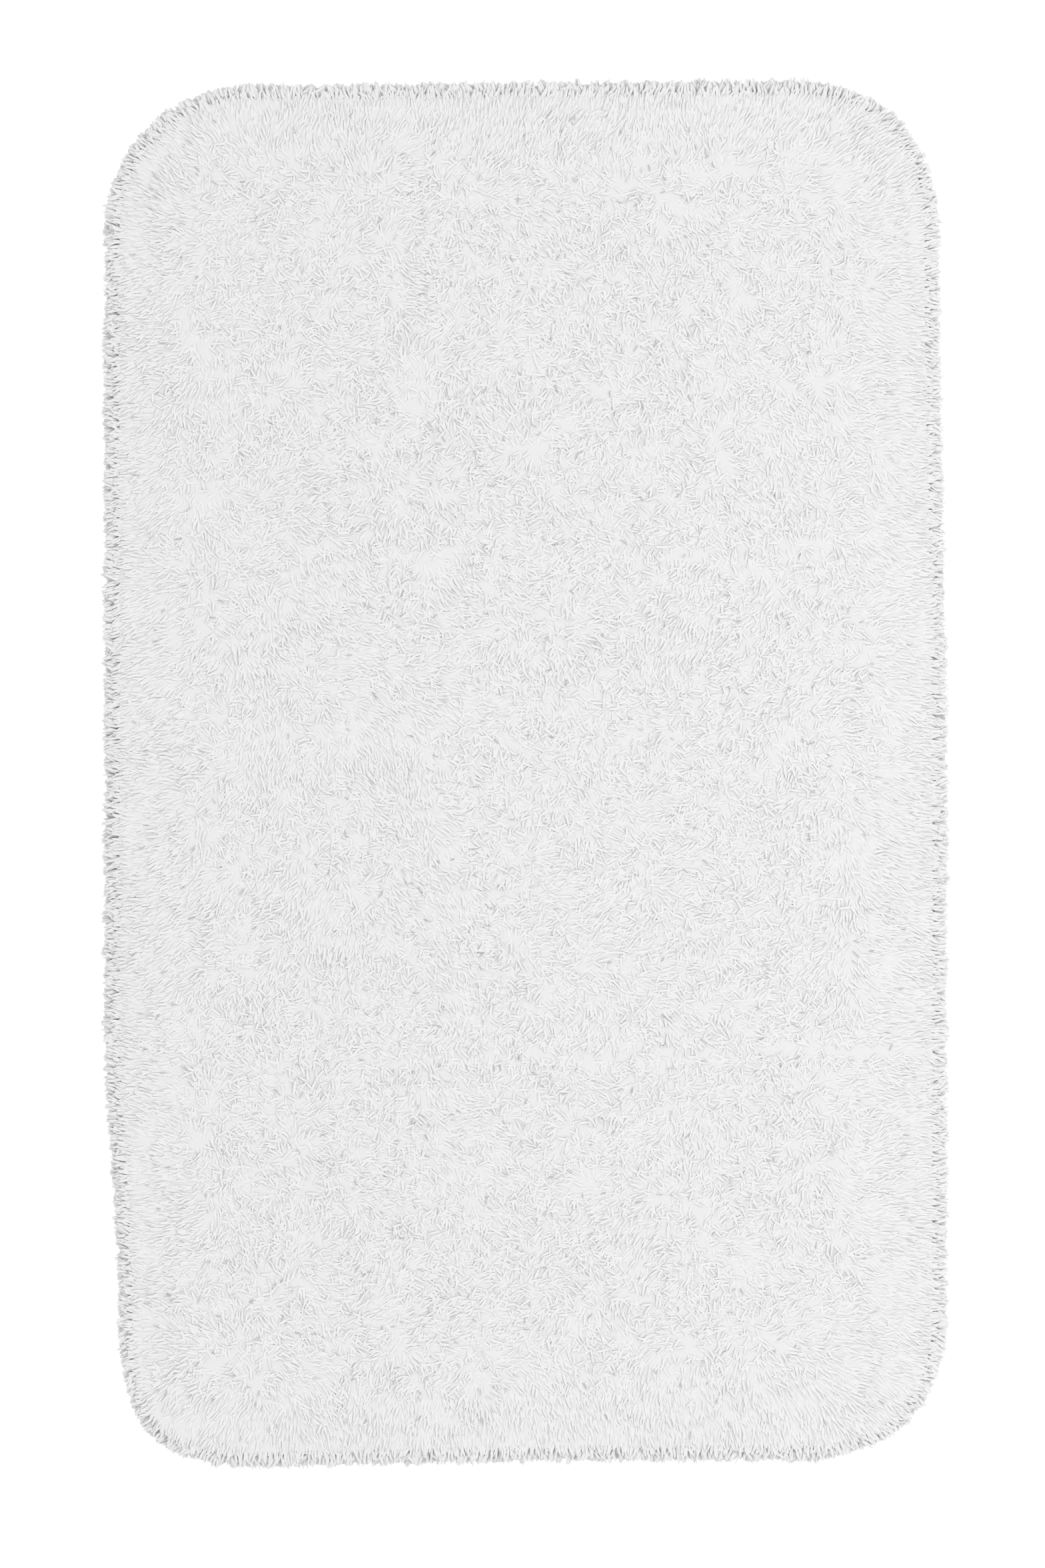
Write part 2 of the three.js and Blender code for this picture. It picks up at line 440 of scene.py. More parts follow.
def makeYarnMaterial(f):
    # The tone, times painted shade that darkens each end towards its root, times fine streaks for the fibres.
    material, tree, shader = newMaterial(
        "pileYarn", Roughness=f["roughness"], Sheen_Weight=f["sheen"], Sheen_Roughness=0.5,
        Specular_IOR_Level=0.15,
    )
    place = addNode(tree, "ShaderNodeUVMap", uv_map="yarn")
    parts = addNode(tree, "ShaderNodeSeparateXYZ", {0: place.outputs[0]})
    tones = addNode(tree, "ShaderNodeValToRGB", {0: parts.outputs[0]})
    setRamp(tones, f["tones"])
    along = addNode(tree, "ShaderNodeValToRGB", {0: parts.outputs[1]})
    setRamp(along, [(stop, (shade,) * 3) for stop, shade in f["shadeAlong"]])
    shaded = addNode(tree, "ShaderNodeMix", data_type="RGBA", blend_type="MULTIPLY")
    shaded.inputs["Factor"].default_value = 1.0
    tree.links.new(tones.outputs[0], shaded.inputs["A"])
    tree.links.new(along.outputs[0], shaded.inputs["B"])
    stretch = addNode(tree, "ShaderNodeMapping", {"Vector": place.outputs[0], "Scale": f["fibreScale"]})
    fibres = addNode(tree, "ShaderNodeTexNoise", {"Vector": stretch.outputs[0], "Scale": 1.0, "Detail": 2.0})
    streaks = addNode(tree, "ShaderNodeMapRange", {"Value": fibres.outputs[0]})
    streaks.inputs["From Min"].default_value = 0.3
    streaks.inputs["From Max"].default_value = 0.7
    streaks.inputs["To Min"].default_value = 1 - f["fibreContrast"]
    streaks.inputs["To Max"].default_value = 1.0
    worn = addNode(tree, "ShaderNodeMix", data_type="RGBA", blend_type="MULTIPLY")
    worn.inputs["Factor"].default_value = 1.0
    tree.links.new(shaded.outputs["Result"], worn.inputs["A"])
    tree.links.new(streaks.outputs["Result"], worn.inputs["B"])
    tree.links.new(worn.outputs["Result"], shader.inputs["Base Color"])
    return material


yarnMaterial = makeYarnMaterial(yarnFinish)


def makeClothWeave():
    # A plain weave as a shared group: where the product of two sines is positive a warp thread lies on top,
    # elsewhere a weft thread, and each thread's height is the size of its own sine. It puts out the height,
    # and a slow mottling for the cloth's colour.
    group = bpy.data.node_groups.new("clothWeave", "ShaderNodeTree")
    face = group.interface
    face.new_socket("Vector", in_out="INPUT", socket_type="NodeSocketVector")
    face.new_socket("Pitch", in_out="INPUT", socket_type="NodeSocketFloat")
    face.new_socket("Height", in_out="OUTPUT", socket_type="NodeSocketFloat")
    face.new_socket("Mottle", in_out="OUTPUT", socket_type="NodeSocketFloat")
    enter, leave = group.nodes.new("NodeGroupInput"), group.nodes.new("NodeGroupOutput")
    scale = addNode(group, "ShaderNodeMath", {0: math.pi, 1: enter.outputs["Pitch"]}, operation="DIVIDE")
    spread = addNode(
        group, "ShaderNodeVectorMath", {0: enter.outputs["Vector"], "Scale": scale.outputs[0]},
        operation="SCALE",
    )
    parts = addNode(group, "ShaderNodeSeparateXYZ", {0: spread.outputs[0]})
    warp = addNode(group, "ShaderNodeMath", {0: parts.outputs[0]}, operation="SINE")
    weft = addNode(group, "ShaderNodeMath", {0: parts.outputs[1]}, operation="SINE")
    product = addNode(group, "ShaderNodeMath", {0: warp.outputs[0], 1: weft.outputs[0]}, operation="MULTIPLY")
    above = addNode(group, "ShaderNodeMath", {0: product.outputs[0], 1: 0.0}, operation="GREATER_THAN")
    warpSize = addNode(group, "ShaderNodeMath", {0: warp.outputs[0]}, operation="ABSOLUTE")
    weftSize = addNode(group, "ShaderNodeMath", {0: weft.outputs[0]}, operation="ABSOLUTE")
    chosen = addNode(group, "ShaderNodeMix", data_type="FLOAT")
    group.links.new(above.outputs[0], chosen.inputs["Factor"])
    group.links.new(weftSize.outputs[0], chosen.inputs["A"])
    group.links.new(warpSize.outputs[0], chosen.inputs["B"])
    cloud = addNode(
        group, "ShaderNodeTexNoise", {"Vector": enter.outputs["Vector"], "Scale": 30.0, "Detail": 4.0}
    )
    group.links.new(chosen.outputs["Result"], leave.inputs["Height"])
    group.links.new(cloud.outputs[0], leave.inputs["Mottle"])
    return group


clothWeave = makeClothWeave()

clothFinishes = {
    "backingCloth": {
        "dark": (0.66, 0.65, 0.62),
        "light": (0.76, 0.75, 0.72),
        "pitch": 0.0011,  # between threads
        "depth": 0.00020,  # of the bumps
        "shine": {"Roughness": 0.9, "Sheen_Weight": 0.1},
    },
    "hemCloth": {
        "dark": (0.60, 0.60, 0.59),
        "light": (0.70, 0.70, 0.69),
        "pitch": 0.0008,
        "depth": 0.00016,
        "shine": {"Roughness": 0.85, "Sheen_Weight": 0.15},
    },
    "labelSatin": {
        "dark": (0.70, 0.70, 0.69),
        "light": (0.78, 0.78, 0.77),
        "pitch": 0.0004,
        "depth": 0.00004,
        "shine": {"Roughness": 0.42, "Sheen_Weight": 0.2},
    },
    "gripLatex": {
        "dark": (0.56, 0.54, 0.48),
        "light": (0.66, 0.64, 0.57),
        "pitch": 0.0013,
        "depth": 0.00008,
        "shine": {"Roughness": 0.55, "Coat_Weight": 0.05},
    },
}


def makeWoven(name, f):
    # A cloth, or a coat that shows the cloth under it: the weave bumps it, and the weave's height times a
    # slow mottling picks its colour, so its hollows are painted darker as painted shade.
    material, tree, shader = newMaterial(name, **f["shine"])
    place = addNode(tree, "ShaderNodeUVMap", uv_map="cloth")
    weave = addNode(tree, "ShaderNodeGroup", node_tree=clothWeave)
    tree.links.new(place.outputs[0], weave.inputs["Vector"])
    weave.inputs["Pitch"].default_value = f["pitch"]
    # painted shade: the weave's hollows take the dark colour, with the cloth's own mottling
    shadeAndMottle = addNode(
        tree, "ShaderNodeMath", {0: weave.outputs["Height"], 1: weave.outputs["Mottle"]}, operation="MULTIPLY"
    )
    tones = addNode(tree, "ShaderNodeValToRGB", {0: shadeAndMottle.outputs[0]})
    setRamp(tones, [(0.05, f["dark"]), (0.55, f["light"])])
    tree.links.new(tones.outputs[0], shader.inputs["Base Color"])
    bump = addNode(tree, "ShaderNodeBump", {"Height": weave.outputs["Height"]})
    bump.inputs["Distance"].default_value = f["depth"]
    tree.links.new(bump.outputs[0], shader.inputs["Normal"])
    return material


def makeThreadMaterial():
    # Twisted sewing thread: slanting bands run round each stitch.
    material, tree, shader = newMaterial("hemThread", Roughness=0.6, Sheen_Weight=0.2)
    place = addNode(tree, "ShaderNodeUVMap", uv_map="cloth")
    slant = addNode(tree, "ShaderNodeMapping", {"Vector": place.outputs[0]})
    slant.inputs["Rotation"].default_value = (0, 0, 0.6)
    twist = addNode(tree, "ShaderNodeTexWave", {"Vector": slant.outputs[0], "Scale": 1.6})
    tones = addNode(tree, "ShaderNodeValToRGB", {0: twist.outputs["Fac"]})
    setRamp(tones, [(0.2, (0.62, 0.62, 0.61)), (0.8, (0.78, 0.78, 0.77))])
    tree.links.new(tones.outputs[0], shader.inputs["Base Color"])
    return material


woven = {name: makeWoven(name, finish) for name, finish in clothFinishes.items()}
threadMaterial = makeThreadMaterial()
print("materials are made")


# The pile is cut yarn ends, which lean, curl and lie over each other on a packed bed.
pile = {
    "spacing": 0.0027,  # between the roots of neighbouring ends
    "rootJitter": 0.45,  # as a share of the spacing
    "rootMargin": 0.0025,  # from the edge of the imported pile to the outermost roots
    "rootDepth": 0.0012,  # of the ends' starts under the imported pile's surface
    "radius": 0.00095,
    "sides": 3,
    "rings": 3,
    "lastRing": 0.85,  # where along an end it starts to close to its tip
    "flatness": 0.60,  # the height of each end's cross-section, as a share of its width
    "rootWidth": 0.80,  # of an end where it starts, as a share of its radius
    "swell": 0.35,
    "taper": 0.02,
    "rollSpread": 0.25,
    "rollLost": 0.8,  # how much of its roll an end has lost at its tip
    "crimp": 0.0009,
    "crimpWaves": 5.0,  # radians along an end
    "lowest": 0.0014,  # no end dips below this height
    "clumpSize": 0.0085,
    "relief": 0.055,  # how much each end's own roundness shows, from 0 to 1
    "edgeRelief": 0.50,
    "edgeTip": 0.42,
    "fringeStart": 0.0042,  # past the hem, where the fringe starts to turn down
    "fringeEnd": 0.011,
    "lumpTip": 0.030,
    "lumpTipSize": 0.013,
    "bedOutset": 0.0035,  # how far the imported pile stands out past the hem
    "bedHeight": 0.0142,
    "bedRounding": 0.008,
    "bedStep": 0.006,
    "bedGap": 0.00005,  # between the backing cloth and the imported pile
    # painted shade: the bed's place on the tone scale, darker than the ends'
    "bedShadeTone": 0.13,
    "fineLumps": {"height": 0.00022, "size": 0.011},
    "wideLumps": {"height": 0.0004, "size": 0.026},
    "stripWidth": 0.003,  # of one side of an end, on the map
    "bandEdges": (-0.420, -0.330, -0.245, -0.160, -0.070, 0.020, 0.110, 0.215, 0.310, 0.410),
    "frontBands": 5,  # how many of the bands lie on the front half of the cloth
    "seed": 11,
}

# The ways that an end's lean is made up of: how strong each is, and the size of its pattern.
lean = {
    "drift": 0.45,
    "driftSize": 0.16,
    "swirl": 0.6,
    "swirlSize": 0.035,
    "clump": 0.6,
    "clumpSize": 0.004,
    "own": 0.30,
    "biasX": 0.14,
    "biasY": -0.16,
    "edgePush": 2.2,
    "edgeBand": 0.085,
    "creasePush": 3.0,
    "creaseStart": 0.05,  # the length over which a crease comes up, from its first x
    "creaseEnd": 0.03,
}

# Where a fold has parted the pile: the line's y, the x it starts and ends at, its strength and half width.
creases = (
    {"y": backCrease, "from": 0.06, "to": 0.250, "strength": 0.35, "reach": 0.004},
    {"y": frontCrease, "from": -0.100, "to": 0.310, "strength": 0.40, "reach": 0.004},
)

# The ends that cover the mat. Angles are from the vertical, in radians.
fieldYarn = {
    "length": 0.0112,
    "lengthSpread": 0.00088,
    "lengthOfClump": 0.00088,
    "width": (0.80, 1.2),  # as shares of the radius
    "edgeReach": 0.015,  # how far in from the hem the ends grow shorter and turn down
    "edgeShorter": 0.20,
    "first": 1.225,  # at the root
    "firstSpread": 0.13,
    "firstAtEdge": 0.06,
    "firstAtCrease": 0.10,
    "last": 1.605,  # at the tip
    "lastSpread": 0.04,
    "lastOfClump": 0.03,
    "lastAtEdge": 0.35,
    "pull": 0.14,  # of the tips towards their clump's centre
    "edgePull": 0.35,
    "tone": 0.62,
    "toneSpread": 0.08,
    "toneOfClump": 0.08,
    "toneOfPatch": 0.08,
    "patchSize": 0.09,
    # painted shade: how far down the tone scale the ends near the edge go
    "shadeAtEdge": 0.05,
    "toneLimits": (0.25, 0.96),
    "speckShare": 0.026,  # of the ends that are thin and painted dark, as painted shadow in the gaps of the pile
    "speckPatch": 0.12,  # the size of the patches with more of them or fewer
    "speckWidth": 0.30,
    "speckLength": (0.25, 0.55),
    # painted shadow: the thin dark ends' place on the tone scale
    "speckTone": (0.05, 0.11),
    "speckRise": 0.0016,
}

# The rows of ends that hang out all round the edge, from the lowest to the highest.
rimYarn = {
    "rows": 5,
    "spacing": 0.0020,
    "lockSize": 0.0075,  # between the small locks that the ends gather into
    "rowShift": 0.37,  # of each row's locks past those below, as a share of the lock's size
    "lowRise": 0.03,  # the first row's place on the rounding, as a share of its quarter ellipse
    "rise": 0.50,  # from there to the last row's
    "rootMargin": 0.0012,
    "length": 0.0080,
    "longer": 0.20,  # the last row's length past the first's, as a share of it
    "lengthOfLock": 0.15,
    "lengthSpread": 0.07,
    "turnOfLock": 0.34,  # how far each lock turns sideways
    "turnSpread": 0.13,
    "first": 1.40,
    "firstFall": 0.35,
    "firstSpread": 0.15,
    "firstOfLock": 0.06,
    "last": 2.50,
    "lastFall": 0.85,
    "lastSpread": 0.20,
    "lastOfLock": 0.10,
    "gather": 0.60,  # of the tips towards the middle of their lock
    "low": 0.0010,  # the roots' least height above the foot of the pile
    "climb": 0.88,  # of the roots up the rounding, as a share of its height there
    "climbSpread": 0.001,
    # painted shade: the rim's ends sit lower on the tone scale than the field's, so the edge band is darker
    "tone": 0.50,
    "toneOfLock": 0.10,
    "toneSpread": 0.07,
    "width": (0.95, 1.45),
}


def bedTop(x, y, p):
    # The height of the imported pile: flat with small lumps, and a quarter ellipse down to its edge.
    inside = edgeDistance(x, y)[0] + p["bedOutset"]
    fall = 1 - np.clip(inside / p["bedRounding"], 0, 1)
    fine, wide = p["fineLumps"], p["wideLumps"]
    lumps = fine["height"] * softNoise(x, y, fine["size"], 8)
    lumps += wide["height"] * softNoise(x, y, wide["size"], 9)
    return pileBottom + p["bedHeight"] * np.sqrt(np.maximum(1 - fall**2, 0.0)) + lumps * (1 - fall)


def softNormal(x, y, p):
    # The pile's unit normal as a whole: upright, tipped a little by wide soft lumps, and tipped outwards more
    # and more over the fringe that hangs past the hem. Also how far out into the fringe, from 0 to 1.
    inside, nx, ny = edgeDistance(x, y)
    outside = ease((-inside - p["fringeStart"]) / (p["fringeEnd"] - p["fringeStart"]))
    tip = p["edgeTip"] * outside
    dx = tip * nx + p["lumpTip"] * softNoise(x, y, p["lumpTipSize"], 15)
    dy = tip * ny + p["lumpTip"] * softNoise(x, y, p["lumpTipSize"], 16)
    normal = np.stack([dx, dy, np.ones(x.shape)], -1)
    return normal / np.linalg.norm(normal, axis=-1, keepdims=True), outside


def pileRoots(p, rng):
    # A hexagonal lattice whose points are each moved at random by a share of the spacing. Those too near the
    # packed pile's edge, or past it, are left out.
    step, outset = p["spacing"], p["bedOutset"]
    wide, long = halfWidth + outset, halfLength + outset
    j, i = np.mgrid[0:int(2 * long / (step * hexRow)) + 1, 0:int(2 * wide / step) + 2]
    x = (i + 0.5 * (j % 2)) * step - wide
    y = j * step * hexRow - long
    x = (x + rng.uniform(-p["rootJitter"], p["rootJitter"], x.shape) * step).ravel()
    y = (y + rng.uniform(-p["rootJitter"], p["rootJitter"], y.shape) * step).ravel()
    keep = edgeDistance(x, y)[0] + outset > p["rootMargin"]
    return x[keep], y[keep]


def clumpCentres(x, y, size, seed, cells=256):
    # Each point's nearest centre, out of one centre placed at random in each square cell.
    shift = np.random.default_rng(seed).uniform(0.1, 0.9, (2, cells, cells))
    ci, cj = np.floor(x / size).astype(int), np.floor(y / size).astype(int)
    best = np.full(x.shape, np.inf)
    foundX, foundY = x.copy(), y.copy()
    for di in (-1, 0, 1):
        for dj in (-1, 0, 1):
            a, b = ci + di, cj + dj
            px = (a + shift[0, a % cells, b % cells]) * size
            py = (b + shift[1, a % cells, b % cells]) * size
            gap = (px - x) ** 2 + (py - y) ** 2
            nearer = gap < best
            best = np.where(nearer, gap, best)
            foundX, foundY = np.where(nearer, px, foundX), np.where(nearer, py, foundY)
    return foundX, foundY


def leanDirections(x, y, cx, cy, inside, nx, ny, v, rng):
    # The way each end leans: a slow drift, a quicker swirl, a way of its clump's own, a little of its own and
    # a bias, then an outward push near the edge and a push away from each crease, all added up and brought
    # to length 1. Also how near each end is to a crease's line, times the crease's strength.
    def wander(driftSeed, swirlSeed, clumpSeed, bias):
        drift = v["drift"] * softNoise(x, y, v["driftSize"], driftSeed)
        swirl = v["swirl"] * softNoise(cx, cy, v["swirlSize"], swirlSeed)
        clump = v["clump"] * softNoise(cx, cy, v["clumpSize"], clumpSeed)
        return drift + swirl + clump + (v["own"] * rng.normal(size=x.shape) + bias)

    dx = wander(1, 2, 12, v["biasX"])
    dy = wander(3, 4, 13, v["biasY"])
    push = v["edgePush"] * ease(1 - inside / v["edgeBand"])
    dx, dy = dx + push * nx, dy + push * ny
    parting = np.zeros(x.shape)
    for c in creases:
        along = ease((x - c["from"]) / v["creaseStart"]) * ease((c["to"] - x) / v["creaseEnd"])
        near = c["strength"] * along * np.exp(-(((y - c["y"]) / c["reach"]) ** 2))
        dy += v["creasePush"] * near * np.sign(y - c["y"])
        parting = np.maximum(parting, near)
    size = np.maximum(np.hypot(dx, dy), 1e-6)
    return dx / size, dy / size, parting


def clipped(rng, size):
    # Normal random numbers, none further out than 2.
    return rng.normal(size=size).clip(-2, 2)


def arcs(x, y, z, dx, dy, first, last, length, p, rng):
    # Each end follows an arc whose angle from the vertical grows evenly from first to last, so its rise is
    # the integral of the cosine and its reach the integral of the sine. A sine wave sideways is its crimp.
    n = len(x)
    t = np.concatenate([np.linspace(0, p["lastRing"], p["rings"]), [1.0]])[None, :]
    swing = np.maximum(last - first, 0.2)[:, None]  # never so straight that the arc's radius has no bound
    start = first[:, None]
    angle = start + swing * t
    out = length[:, None] * (np.cos(start) - np.cos(angle)) / swing
    up = length[:, None] * (np.sin(angle) - np.sin(start)) / swing
    phase = rng.uniform(0, 2 * math.pi, (n, 1))
    wave = (np.sin(phase + p["crimpWaves"] * t) - np.sin(phase)) * t
    crimp = p["crimp"] * rng.uniform(0.2, 1.2, (n, 1)) * wave
    px = x[:, None] + dx[:, None] * out - dy[:, None] * crimp
    py = y[:, None] + dy[:, None] * out + dx[:, None] * crimp
    pz = np.maximum(z[:, None] + up + 0.3 * crimp * np.cos(phase), p["lowest"])
    return np.stack([px, py, pz], -1), t


def fieldEnds(p, f, rng):
    # The ends that cover the mat and lie over each other as their leans say. An end's angles, length and tone
    # are each a mean, plus a part for its clump, a random part of its own and a part for the edge.
    x, y = pileRoots(p, rng)
    n = len(x)
    inside, nx, ny = edgeDistance(x, y)
    cx, cy = clumpCentres(x, y, p["clumpSize"], 5)
    dx, dy, parting = leanDirections(x, y, cx, cy, inside, nx, ny, lean, rng)
    edge = ease(1 - inside / f["edgeReach"])
    clump = softNoise(cx, cy, p["clumpSize"] * 1.3, 6)
    first = f["first"] + f["firstSpread"] * rng.random(n)
    first += f["firstAtEdge"] * edge + f["firstAtCrease"] * parting
    last = f["last"] + f["lastOfClump"] * clump + f["lastSpread"] * clipped(rng, n) + f["lastAtEdge"] * edge
    length = f["length"] + f["lengthOfClump"] * clump + f["lengthSpread"] * clipped(rng, n)
    length *= 1 - f["edgeShorter"] * edge
    # Some thin ends are painted dark, as painted shadow in the gaps between ends.
    shadowStroke = rng.random(n) < f["speckShare"] * (0.55 + 0.45 * softNoise(x, y, f["speckPatch"], 14))
    shadowStroke &= edge < 0.1
    scale = p["radius"] * rng.uniform(*f["width"], n) * np.where(shadowStroke, f["speckWidth"], 1.0)
    length = np.where(shadowStroke, rng.uniform(*f["speckLength"], n) * length, length)
    z = bedTop(x, y, p) - p["rootDepth"] + np.where(shadowStroke, f["speckRise"], 0.0)
    line, t = arcs(x, y, z, dx, dy, first, last, length, p, rng)
    pull = (f["pull"] + f["edgePull"] * edge)[:, None] * t**2
    line[:, :, 0] += pull * (cx - x)[:, None]
    line[:, :, 1] += pull * (cy - y)[:, None]
    tone = f["tone"] + f["toneOfClump"] * clump + f["toneSpread"] * rng.normal(size=n)
    # The tone is lowered near the edge as painted shade.
    tone += f["toneOfPatch"] * softNoise(x, y, f["patchSize"], 7) - f["shadeAtEdge"] * edge
    tone = np.where(shadowStroke, rng.uniform(*f["speckTone"], n), tone.clip(*f["toneLimits"]))
    return line, tone, scale, y


def rimEnds(p, f, rng):
    # Rows of ends that hang out round the edge from the foot of the rounding to its shoulder, drawn together
    # into small locks with gaps between. Each lock has four random numbers of its own.
    sets = []
    for row in range(f["rows"]):
        share = row / (f["rows"] - 1)
        rise = math.pi / 2 * (f["lowRise"] + f["rise"] * share)
        inset = -p["bedOutset"] + p["bedRounding"] * (1 - math.cos(rise)) + f["rootMargin"]
        path, normal = outlinePath(inset, f["spacing"])
        n = len(path)
        along = (np.arange(n) + 0.5 * rng.random(n)) * f["spacing"] + f["rowShift"] * row * f["lockSize"]
        sway = 0.3 * softNoise(along, along * 0 + row, 0.015, 20)
        lock = np.floor(along / f["lockSize"] + sway).astype(int)
        own = clipped(np.random.default_rng(30 + row), (lock.max() + 2, 4))[lock]
        toCentre = (lock + 0.5) * f["lockSize"] - along
        side = np.stack([-normal[:, 1], normal[:, 0]], -1)
        d = normal + side * (f["turnOfLock"] * own[:, :1] + f["turnSpread"] * rng.normal(size=(n, 1)))
        d /= np.linalg.norm(d, axis=1, keepdims=True)
        first = f["first"] - f["firstFall"] * share + f["firstSpread"] * rng.random(n)
        first += f["firstOfLock"] * own[:, 1]
        last = f["last"] - f["lastFall"] * share + f["lastSpread"] * rng.random(n)
        last += f["lastOfLock"] * own[:, 1]
        length = f["length"] * (1 + f["longer"] * share)
        length = length * (1 + f["lengthOfLock"] * own[:, 2] + f["lengthSpread"] * clipped(rng, n))
        climb = p["bedHeight"] * math.sin(rise) * f["climb"]
        z = pileBottom + f["low"] + climb + f["climbSpread"] * rng.random(n)
        line, t = arcs(path[:, 0], path[:, 1], z, d[:, 0], d[:, 1], first, last, length, p, rng)
        line[:, :, :2] += (f["gather"] * t[0] ** 1.5)[None, :, None] * (side * toCentre[:, None])[:, None, :]
        # The rim's lower tone is painted shade on the edge band.
        tone = f["tone"] + f["toneOfLock"] * own[:, 3] + f["toneSpread"] * rng.normal(size=n)
        scale = p["radius"] * rng.uniform(*f["width"], n)
        sets.append((line, tone.clip(*fieldYarn["toneLimits"]), scale, path[:, 1]))
    return tuple(np.concatenate(arrays) for arrays in zip(*sets))


def yarnTubes(line, scale, tone, roll, p):
    # A ring of points stands across the path at each step, swelling a little past the root and closing to a
    # point at the tip, and rolled back towards level as it goes, as the yarn's twist opens. The normals lie
    # between each end's own and the whole pile's, as the down on the yarn softens its light and shade, but
    # where an end's own normal points down, it is kept.
    n, steps = line.shape[:2]
    rings, sides = steps - 1, p["sides"]
    tangent = np.gradient(line, axis=1)
    tangent /= np.linalg.norm(tangent, axis=2, keepdims=True)
    across = np.cross(np.array([0.0, 0.0, 1.0]), tangent)
    across /= np.linalg.norm(across, axis=2, keepdims=True)
    other = np.cross(tangent, across)
    t = np.arange(rings) / (rings - 1)
    swell = p["rootWidth"] + p["swell"] * np.sin(math.pi * t) - p["taper"] * t
    turn = (np.arange(sides) + 0.5) / sides * 2 * math.pi - math.pi / 6
    turn = turn[None, None, :] + roll[:, None, None] * (1 - p["rollLost"] * t[None, :, None])
    c, s = np.cos(turn)[..., None], p["flatness"] * np.sin(turn)[..., None]
    radius = (scale[:, None] * swell[None, :])[:, :, None, None]
    outward = across[:, :rings, None, :] * c + other[:, :rings, None, :] * s
    ring = line[:, :rings, None, :] + radius * outward
    points = np.concatenate([ring.reshape(n, -1, 3), line[:, rings:, :]], 1)
    own = np.concatenate([outward.reshape(n, -1, 3), tangent[:, rings:, :]], 1)
    own /= np.linalg.norm(own, axis=2, keepdims=True)
    soft, outside = softNormal(points[:, :, 0], points[:, :, 1], p)
    share = (p["relief"] + (p["edgeRelief"] - p["relief"]) * outside)[..., None]
    share = share + (1 - share) * ease(-2 * own[:, :, 2:])
    normals = own * share + soft * (1 - share)
    normals /= np.linalg.norm(normals, axis=2, keepdims=True)
    size = rings * sides + 1
    k = np.arange(sides)
    k1 = (k + 1) % sides
    r = np.arange(rings - 1)[:, None] * sides
    wall = np.stack([r + k, r + k1, r + sides + k1, r + sides + k], -1).reshape(-1, 4)
    last = (rings - 1) * sides
    tip = np.stack([last + k, last + k1, np.full(sides, size - 1)], -1)
    tris = np.concatenate([tip, [[2, 1, 0]]])
    base = (np.arange(n) * size)[:, None, None]
    # The map: each end has a strip at its tone, as high as the map, cut into one column for each side. The
    # tip's triangles fill its top, and the end that closes the root is a small triangle at its foot.
    strip = p["stripWidth"]
    column = strip * np.arange(sides + 1) - strip / 2 * sides
    v = np.append(np.arange(rings) / rings * 0.95, [0.95 * (rings - 1) / rings, 0.99])
    wallU = np.stack([column[k], column[k + 1], column[k + 1], column[k]], -1)
    wallU = np.broadcast_to(wallU, (rings - 1, sides, 4)).reshape(-1, 4)
    wallV = np.stack([v[:rings - 1], v[:rings - 1], v[1:rings], v[1:rings]], -1)
    wallV = np.repeat(wallV, sides, 0)
    quadUv = np.stack([wallU, wallV], -1)
    tipU = np.stack([column[k], column[k + 1], (column[k] + column[k + 1]) / 2], -1)
    tipV = np.broadcast_to([v[-2], v[-2], v[-1]], tipU.shape)
    triU = np.concatenate([tipU, [[-strip, strip, 0.0]]])
    triV = np.concatenate([tipV, [[0.0, 0.0, 2 * strip]]])
    triUv = np.stack([triU, triV], -1)
    shift = np.stack([tone, np.zeros(n)], -1)[:, None, None, :]
    return (
        points.reshape(-1, 3),
        (wall[None] + base).reshape(-1, 4),
        (tris[None] + base).reshape(-1, 3),
        (quadUv[None] + shift).reshape(-1, 2),
        (triUv[None] + shift).reshape(-1, 2),
        normals.reshape(-1, 3),
    )


def pileBed(low, high, p):
    # The imported lower part of the pile: a slab with a lumpy top, which closes what shows between the ends.
    # On the map, each of its faces is a small square at its tone, painted a little darker than the ends as
    # painted shade.
    def over(x, y):
        return bedTop(x, y, p)

    def under(x, y):
        return np.full(x.shape, backingTop + p["bedGap"])

    rows = rowsBetween(low, high, -p["bedOutset"], p["bedStep"])
    across = int(2 * halfWidth / p["bedStep"])
    points, quads = slab(rows, across, edgeReach(rows, -p["bedOutset"]), under, over)
    corner = np.array([[0.0, 0.0], [0.02, 0.0], [0.02, 0.02], [0.0, 0.02]])
    uv = np.tile(corner, (len(quads), 1)) + [p["bedShadeTone"], 0.50]
    # The normals are the smooth quarter ellipse's over the rounding, upright on the flat top and turned over
    # underneath.
    inside, nx, ny = edgeDistance(points[:, 0], points[:, 1])
    fall = 1 - np.clip((inside + p["bedOutset"]) / p["bedRounding"], 0, 1)
    steep = fall * p["bedHeight"] / p["bedRounding"]
    flat = np.sqrt(1 - fall**2)
    flat[len(points) // 2:] = -flat[len(points) // 2:]
    normals = np.stack([nx * steep, ny * steep, flat], -1)
    normals /= np.linalg.norm(normals, axis=1, keepdims=True)
    return points, quads, uv, normals


